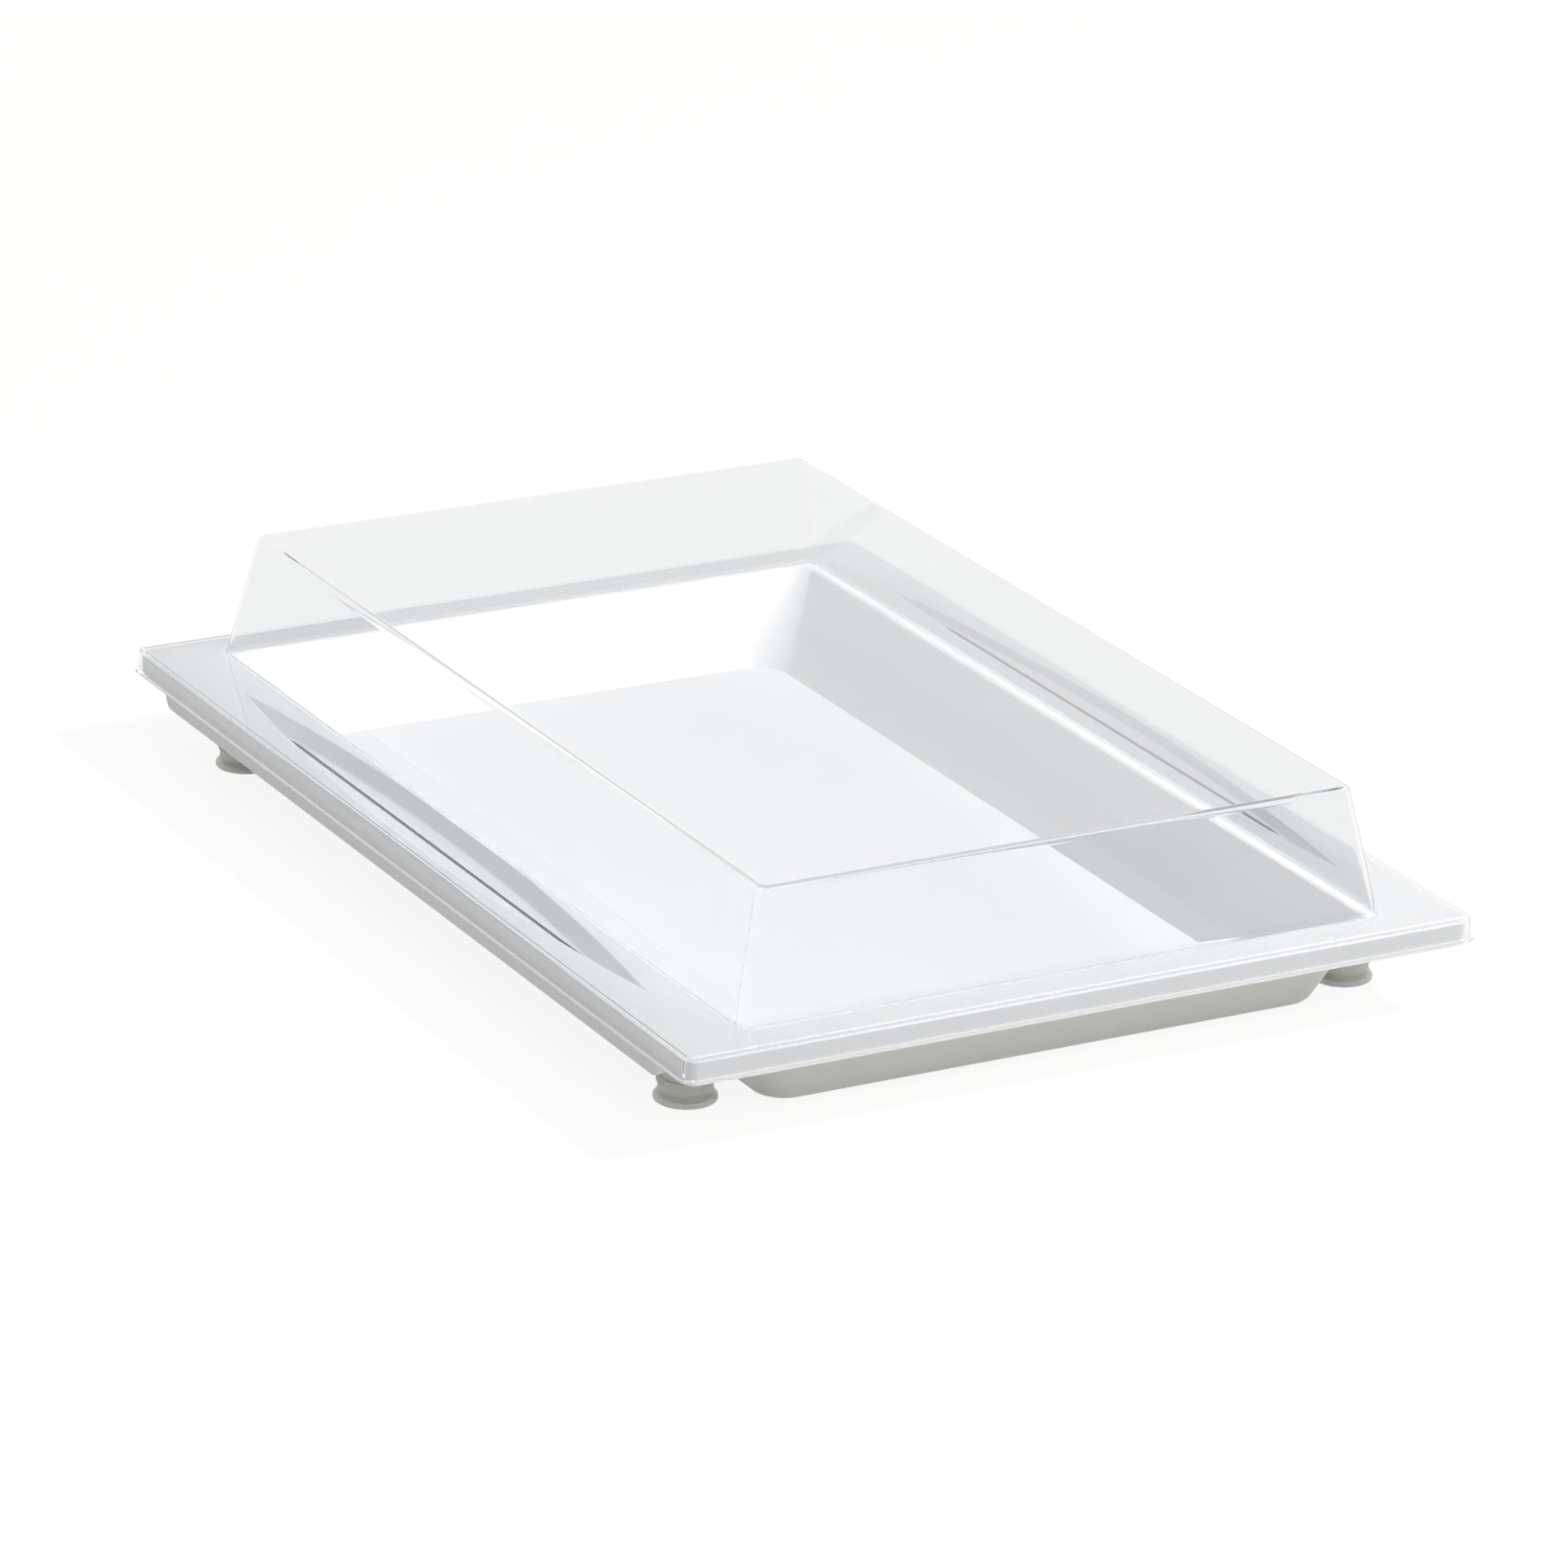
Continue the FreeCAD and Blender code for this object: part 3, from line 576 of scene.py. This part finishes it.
@dataclass
class DomeCover:
    """The clear cover: raised dome, flange, turned-down skirt and a thin lip round its foot."""

    wall: float = 0.0016
    base_half: tuple = (0.131, 0.2135)
    crown_half: tuple = (0.1205, 0.2065)
    dome_rise: float = 0.048
    dome_corner: float = 0.005
    crown_round: float = 0.003
    root_round: float = 0.002
    skirt_corner: float = 0.004
    skirt_round: float = 0.0008
    lip_reach: float = 0.0015
    lip_depth: float = 0.0012
    lip_round: float = 0.0003
    per_corner: int = 13
    crown_steps: int = 6
    root_steps: int = 5
    skirt_steps: int = 4
    lip_steps: int = 2
    mouth_steps: int = 4
    ceiling_steps: int = 5
    crease: float = math.radians(40)

    def rings(self) -> dict[str, Ring]:
        """List the outlines from the crown, down the outside and up the inside."""
        low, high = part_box("dome")
        lip_x, lip_y = high.x, high.y
        skirt_x, skirt_y = lip_x - self.lip_reach, lip_y - self.lip_reach
        flange = high.z - self.dome_rise
        wall = self.wall
        lean_x = wall * (self.base_half[0] - self.crown_half[0]) / self.dome_rise
        lean_y = wall * (self.base_half[1] - self.crown_half[1]) / self.dome_rise
        lip_corner = self.skirt_corner + self.lip_reach
        inner = self.dome_corner - wall
        return {
            "crown": Ring(*self.crown_half, self.dome_corner, high.z),
            "root": Ring(*self.base_half, self.dome_corner, flange),
            "edge": Ring(skirt_x, skirt_y, self.skirt_corner, flange),
            "foot": Ring(skirt_x, skirt_y, self.skirt_corner, low.z + self.lip_depth),
            "lip_top": Ring(lip_x, lip_y, lip_corner, low.z + self.lip_depth),
            "lip_low": Ring(lip_x, lip_y, lip_corner, low.z),
            "hem": Ring(skirt_x - wall, skirt_y - wall, self.skirt_corner - wall, low.z),
            "seat": Ring(skirt_x - wall, skirt_y - wall, self.skirt_corner - wall, flange - wall),
            "mouth": Ring(
                self.base_half[0] - wall + lean_x, self.base_half[1] - wall + lean_y,
                inner, flange - wall,
            ),
            "ceiling": Ring(
                self.crown_half[0] - wall + lean_x, self.crown_half[1] - wall + lean_y,
                inner, high.z - wall,
            ),
        }

    def build(self, finish: bpy.types.Material) -> None:
        """Build and dress the cover.

        Args:
            finish: The clear material.
        """
        rings = self.rings()
        skin = Skin(list(rings.values()), self.per_corner)
        skin.round_ring(rings["crown"], self.crown_round, self.crown_steps)
        skin.round_ring(rings["root"], self.root_round, self.root_steps)
        skin.round_ring(rings["edge"], self.skirt_round, self.skirt_steps)
        skin.round_ring(rings["lip_top"], self.lip_round, self.lip_steps)
        skin.round_ring(rings["lip_low"], self.lip_round, self.lip_steps)
        skin.round_ring(rings["mouth"], self.root_round / 2, self.mouth_steps)
        skin.round_ring(rings["ceiling"], self.crown_round - self.wall, self.ceiling_steps)
        cover = make_object("dome_cover", skin.mesh)
        smooth(cover, self.crease)
        dress(cover, finish, Body.DOME, "dome")


@dataclass
class MouldedTray:
    """The white tray: flange, rim with side fascias, coved bowl, scoops and foot posts."""

    flange_wall: float = 0.003
    rim_wall: float = 0.0026
    rim_drop: float = 0.0095
    rim_corner: float = 0.0032
    rim_round: float = 0.0012
    fascia_drop: float = 0.015
    fascia_half: float = 0.206
    fascia_corner: float = 0.0054
    brim_half: tuple = (0.127, 0.2135)
    brim_corner: float = 0.008
    brim_round: float = 0.003
    floor_half: tuple = (0.099, 0.187)
    floor_corner: float = 0.012
    cove_half: tuple = (0.1055, 0.1935)
    cove_rise: float = 0.0064
    cove_corner: float = 0.014
    cove_round: float = 0.012
    bowl_depth: float = 0.0305
    side_wall: float = 0.0034
    sole_half: tuple = (0.113, 0.203)
    sole_corner: float = 0.012
    under_round: float = 0.0045
    scoop_half: float = 0.166
    scoop_width: float = 0.024
    scoop_depth: float = 0.005
    scoop_lean: float = 0.0042
    scoop_inset: float = 0.0152
    scoop_wall: float = 0.003
    scoop_round: float = 0.001
    scoop_flare: float = 0.003
    scoop_floor_round: float = 0.002
    post_radius: float = 0.009
    post_foot: float = 0.009
    post_sink: float = 0.0004
    post_place: tuple = (0.135, 0.1825)
    bore_radius: float = 0.0051
    bore_depth: float = 0.009
    bore_lead: float = 0.001
    per_corner: int = 13
    cove_steps: int = 12
    brim_steps: int = 6
    rim_steps: int = 4
    under_steps: int = 10
    fascia_steps: int = 6
    scoop_steps: int = 5
    scoop_floor_steps: int = 6
    facets: int = 64
    crease: float = math.radians(28)

    def rings(self) -> dict[str, Ring]:
        """List the outlines from the bowl's floor, over the flange and down the underside."""
        low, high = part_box("tray")
        edge_x, edge_y, top = high.x, high.y, high.z
        under = top - self.flange_wall
        rim_x, rim_y = edge_x - self.rim_wall, edge_y - self.rim_wall
        rim_corner = self.rim_corner - self.rim_wall
        lean = (self.brim_half[0] - self.cove_half[0]) / (self.bowl_depth - self.cove_rise)
        out = self.side_wall - self.flange_wall * lean
        shoulder_x, shoulder_y = self.brim_half[0] + out, self.brim_half[1] + out
        return {
            "floor": Ring(*self.floor_half, self.floor_corner, top - self.bowl_depth),
            "cove": Ring(*self.cove_half, self.cove_corner, top - self.bowl_depth + self.cove_rise),
            "brim": Ring(*self.brim_half, self.brim_corner, top),
            "edge": Ring(edge_x, edge_y, self.rim_corner, top),
            "rim_outside": Ring(edge_x, edge_y, self.rim_corner, top - self.rim_drop),
            "rim_inside": Ring(rim_x, rim_y, rim_corner, top - self.rim_drop),
            "pan": Ring(rim_x, rim_y, rim_corner, under),
            "shoulder": Ring(shoulder_x, shoulder_y, self.brim_corner + self.side_wall, under),
            "sole": Ring(*self.sole_half, self.sole_corner, low.z),
        }

    def drop_fascias(self, skin: Skin, rings: dict[str, Ring]) -> None:
        """Deepen the rim along both long sides, with rounded lower ends.

        Args:
            skin: The tray's skin.
            rings: Its outlines.
        """
        mesh = skin.mesh
        for end in (-1, 1):
            bmesh.ops.bisect_plane(
                mesh, geom=mesh.verts[:] + mesh.edges[:] + mesh.faces[:],
                plane_co=(0, end * self.fascia_half, 0), plane_no=(0, 1, 0),
            )
        height = rings["rim_outside"].height
        inside = rings["rim_inside"].half_x
        strips = []
        for face in mesh.faces:
            middle = face.calc_center_median()
            level = abs(middle.z - height) < NEAR and abs(face.normal.z) > 0.9
            if level and abs(middle.x) > inside and abs(middle.y) < self.fascia_half:
                strips.append(face)
        grown = bmesh.ops.extrude_face_region(mesh, geom=strips)["geom"]
        bmesh.ops.delete(mesh, geom=strips, context="FACES_ONLY")
        lowered = [v for v in grown if isinstance(v, bmesh.types.BMVert)]
        drop = self.fascia_drop - self.rim_drop
        bmesh.ops.translate(mesh, verts=lowered, vec=(0, 0, -drop))
        ends = []
        for edge in mesh.edges:
            level = all(abs(v.co.z - (height - drop)) < NEAR for v in edge.verts)
            if level and abs(edge.verts[0].co.y - edge.verts[1].co.y) < NEAR:
                ends.append(edge)
        bmesh.ops.bevel(
            mesh, geom=ends, offset=self.fascia_corner, offset_type="OFFSET", affect="EDGES",
            segments=self.fascia_steps, profile=0.5, material=-1,
        )

    def leaf(self, wider: float, height: float) -> Leaf:
        """Give one level outline of a scoop.

        Args:
            wider: How far it lies outside the scoop's mouth.
            height: Its height.

        Returns:
            The outline.
        """
        half = self.scoop_width / 2
        sweep = (self.scoop_half ** 2 + half ** 2) / (2 * half)
        return Leaf(sweep + wider, sweep - half, height)

    def scoop(self, side: int) -> bpy.types.Object:
        """Make the form that a scoop leaves: leaning walls, a flat floor and a softened mouth.

        Args:
            side: -1 for the left scoop and 1 for the right one.

        Returns:
            The form to cut.
        """
        _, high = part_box("tray")
        floor = self.leaf(-self.scoop_lean, high.z - self.scoop_depth)
        mouth = self.leaf(0.0, high.z + 2 * SLIVER)
        flare = self.leaf(self.scoop_flare, high.z + 3 * SLIVER)
        above = self.leaf(self.scoop_flare, high.z + self.scoop_depth)
        skin = Skin([floor, mouth, flare, above], self.per_corner)
        skin.round_ring(mouth, self.scoop_round, self.scoop_steps)
        skin.round_ring(floor, self.scoop_floor_round, self.scoop_floor_steps)
        across = side * (high.x - self.scoop_inset)
        bmesh.ops.translate(skin.mesh, verts=skin.mesh.verts, vec=(across, 0, 0))
        return make_object("scoop", skin.mesh)

    def scoop_shell(self, side: int, ceiling: float) -> bpy.types.Object:
        """Make the shell that hangs under a scoop: the same form, one wall lower.

        Args:
            side: -1 for the left scoop and 1 for the right one.
            ceiling: The height inside the flange at which it ends.

        Returns:
            The shell as a solid.
        """
        _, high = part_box("tray")
        sole = high.z - self.scoop_depth - self.scoop_wall
        wider = (ceiling - sole) * self.scoop_lean / self.scoop_depth - self.scoop_lean
        low = self.leaf(-self.scoop_lean, sole)
        skin = Skin([low, self.leaf(wider, ceiling)], self.per_corner)
        skin.round_ring(low, self.scoop_floor_round + self.scoop_wall / 2, self.scoop_floor_steps)
        across = side * (high.x - self.scoop_inset)
        bmesh.ops.translate(skin.mesh, verts=skin.mesh.verts, vec=(across, 0, 0))
        return make_object("scoop_shell", skin.mesh)

    def cylinder(self, place: tuple, radius: float, foot: float, top: float) -> bpy.types.Object:
        """Make an upright cylinder.

        Args:
            place: Its place across and along.
            radius: Its radius.
            foot: The height of its lower end.
            top: The height of its upper end.

        Returns:
            The cylinder.
        """
        mesh = bmesh.new()
        bmesh.ops.create_cone(
            mesh, cap_ends=True, segments=self.facets, radius1=radius, radius2=radius,
            depth=top - foot, matrix=Matrix.Translation((*place, (foot + top) / 2)),
        )
        return make_object("cylinder", mesh)

    def build(self, finish: bpy.types.Material) -> None:
        """Build and dress the tray.

        Args:
            finish: The white material.
        """
        rings = self.rings()
        skin = Skin(list(rings.values()), self.per_corner)
        skin.round_ring(rings["cove"], self.cove_round, self.cove_steps)
        skin.round_ring(rings["brim"], self.brim_round, self.brim_steps)
        skin.round_ring(rings["edge"], self.rim_round, self.rim_steps)
        skin.round_ring(rings["sole"], self.under_round, self.under_steps)
        self.drop_fascias(skin, rings)
        tray = make_object("tray_moulding", skin.mesh)
        inside_flange = (rings["edge"].height + rings["pan"].height) / 2
        post_x, post_y = self.post_place
        corners = [(x * post_x, y * post_y) for x in (-1, 1) for y in (-1, 1)]
        added = [self.scoop_shell(side, inside_flange) for side in (-1, 1)]
        added += [
            self.cylinder(place, self.post_radius, self.post_foot, inside_flange - self.post_sink)
            for place in corners
        ]
        cut_or_join(tray, added, "UNION")
        taken = [self.scoop(side) for side in (-1, 1)]
        below = self.post_foot - self.bore_lead
        taken += [
            self.cylinder(place, self.bore_radius, below, self.post_foot + self.bore_depth)
            for place in corners
        ]
        cut_or_join(tray, taken, "DIFFERENCE")
        smooth(tray, self.crease)
        dress(tray, finish, Body.TRAY, "tray")


@dataclass
class Foot:
    """One soft foot: cupped sole, flared disc, pinched neck, head and plug."""

    node: str
    disc_radius: float = 0.0115
    disc_edge: float = 0.0016
    disc_round: float = 0.0007
    neck_radius: float = 0.0092
    neck_height: float = 0.0042
    neck_round: float = 0.004
    head_radius: float = 0.0105
    head_depth: float = 0.0016
    stand: float = 0.009
    plug_radius: float = 0.005
    plug_nose: float = 0.001
    cup_radius: float = 0.0075
    cup_depth: float = 0.001
    cup_levels: tuple = (0.75, 0.5, 0.25, 0.08)
    per_corner: int = 13
    neck_steps: int = 8
    disc_steps: int = 4
    head_steps: int = 3
    crease: float = math.radians(40)

    def build(self, finish: bpy.types.Material) -> None:
        """Build and dress the foot.

        Args:
            finish: The soft material.
        """
        low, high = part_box(self.node)
        plug, nose = self.plug_radius, self.plug_radius - self.plug_nose
        sizes = [
            ("top", nose, high.z),
            ("shoulder", plug, high.z - self.plug_nose),
            ("plug_root", plug, self.stand),
            ("head_top", self.head_radius, self.stand),
            ("head_low", self.head_radius, self.stand - self.head_depth),
            ("neck", self.neck_radius, self.neck_height),
            ("disc_top", self.disc_radius, self.disc_edge),
            ("disc_low", self.disc_radius, low.z),
            ("cup", self.cup_radius, low.z),
        ]
        for share in self.cup_levels:
            height = low.z + self.cup_depth * (1 - share ** 2)
            sizes.append(("cup_%d" % round(100 * share), self.cup_radius * share, height))
        rings = {name: Ring(radius, radius, radius, height) for name, radius, height in sizes}
        skin = Skin(list(rings.values()), self.per_corner)
        skin.round_ring(rings["neck"], self.neck_round, self.neck_steps)
        skin.round_ring(rings["disc_top"], self.disc_round, self.disc_steps)
        skin.round_ring(rings["disc_low"], self.disc_round, self.disc_steps)
        skin.round_ring(rings["head_low"], self.disc_round / 2, self.head_steps)
        middle = (low + high) / 2
        bmesh.ops.translate(skin.mesh, verts=skin.mesh.verts, vec=(middle.x, middle.y, 0))
        foot = make_object(self.node + "_moulding", skin.mesh)
        smooth(foot, self.crease)
        dress(foot, finish, Body.TRAY, self.node)


@dataclass
class Studio:
    """White surroundings, a pale floor, two soft lamps and the camera."""

    aim: tuple = (0.00116, -0.00173, 0.03377)
    azimuth: float = math.radians(29.021)
    elevation: float = math.radians(20.546)
    roll: float = math.radians(1.606)
    distance: float = 2.92876
    focal_length: float = 179.8
    sensor: float = 36.0
    farthest: float = 50.0
    floor_half: float = 9.0
    floor_colour: tuple = (0.87, 0.855, 0.80, 1.0)
    floor_glow: float = 0.8
    floor_strength: float = 1.1
    fill: float = 0.41
    key_place: tuple = (1.6, -0.73, 1.92)
    key_size: float = 0.25
    key_power: float = 32.0
    front_place: tuple = (-0.3, -2.0, 1.5)
    front_size: float = 0.9
    front_power: float = 7.0

    def set_camera(self) -> None:
        """Place the camera at the photograph's view."""
        data = bpy.data.cameras.new("camera")
        data.sensor_width = self.sensor
        data.sensor_fit = "HORIZONTAL"
        data.lens = self.focal_length
        data.clip_end = self.farthest
        turn = Matrix.Rotation(-self.azimuth, 4, "Z")
        tilt = Matrix.Rotation(QUARTER - self.elevation, 4, "X")
        bank = Matrix.Rotation(self.roll, 4, "Z")
        back = Matrix.Translation((0, 0, self.distance))
        camera = bpy.data.objects.new("camera", data)
        camera.matrix_world = Matrix.Translation(self.aim) @ turn @ tilt @ bank @ back
        bpy.context.scene.collection.objects.link(camera)
        bpy.context.scene.camera = camera

    def set_surroundings(self) -> None:
        """Light the scene evenly, and show plain white to the eye and in gloss."""
        world = bpy.data.worlds.new("surroundings")
        bpy.context.scene.world = world
        world.use_nodes = True
        bench = ShaderBench(world.node_tree)
        direct = 1.0 - bench.light_path("Diffuse Depth").minimum(1.0)
        strength = bench.looked_at() * direct * (1.0 - self.fill) + self.fill
        sky = bench.add("ShaderNodeBackground", {}, {"Color": (1, 1, 1, 1), "Strength": strength})
        bench.add("ShaderNodeOutputWorld", {}, {"Surface": sky})

    def set_floor(self) -> None:
        """Lay a pale floor that keeps the object's shadow but looks white where it is lit."""
        mesh = bmesh.new()
        bmesh.ops.create_grid(mesh, x_segments=1, y_segments=1, size=self.floor_half)
        floor = make_object("floor", mesh)
        material = bpy.data.materials.new("pale_floor")
        material.use_nodes = True
        bench = ShaderBench(material.node_tree)
        lit = bench.add("ShaderNodeBsdfDiffuse", {}, {"Color": self.floor_colour})
        white = {"Color": (1, 1, 1, 1), "Strength": self.floor_strength}
        glow = bench.add("ShaderNodeEmission", {}, white)
        share = bench.looked_at() * self.floor_glow
        bench.finish_surface(bench.add("ShaderNodeMixShader", {}, {0: share, 1: lit, 2: glow}))
        floor.data.materials.append(material)

    def hang_lamp(self, name: str, place: tuple, size: float, power: float) -> None:
        """Hang a square lamp that faces the object.

        Args:
            name: Its name.
            place: Its place.
            size: The length of its side.
            power: Its power in watts.
        """
        data = bpy.data.lights.new(name, "AREA")
        data.shape = "SQUARE"
        data.size = size
        data.energy = power
        lamp = bpy.data.objects.new(name, data)
        lamp.location = place
        towards = Vector(self.aim) - Vector(place)
        lamp.rotation_euler = towards.to_track_quat("-Z", "Y").to_euler()
        bpy.context.scene.collection.objects.link(lamp)

    def build(self) -> None:
        """Set up everything round the object."""
        self.set_camera()
        self.set_surroundings()
        self.set_floor()
        self.hang_lamp("key", self.key_place, self.key_size, self.key_power)
        self.hang_lamp("front", self.front_place, self.front_size, self.front_power)
        bpy.context.scene.view_settings.view_transform = "Standard"


def main() -> None:
    """Build the covered tray and its surroundings."""
    logging.basicConfig(level=logging.INFO, format="%(name)s: %(message)s")
    DomeCover().build(ClearSheet().make())
    MouldedTray().build(MouldedWhite().make())
    soft = SoftFoot().make()
    for end in ("front", "back"):
        for side in ("left", "right"):
            Foot("foot_%s_%s" % (end, side)).build(soft)
    Studio().build()


if __name__ == "__main__":
    main()
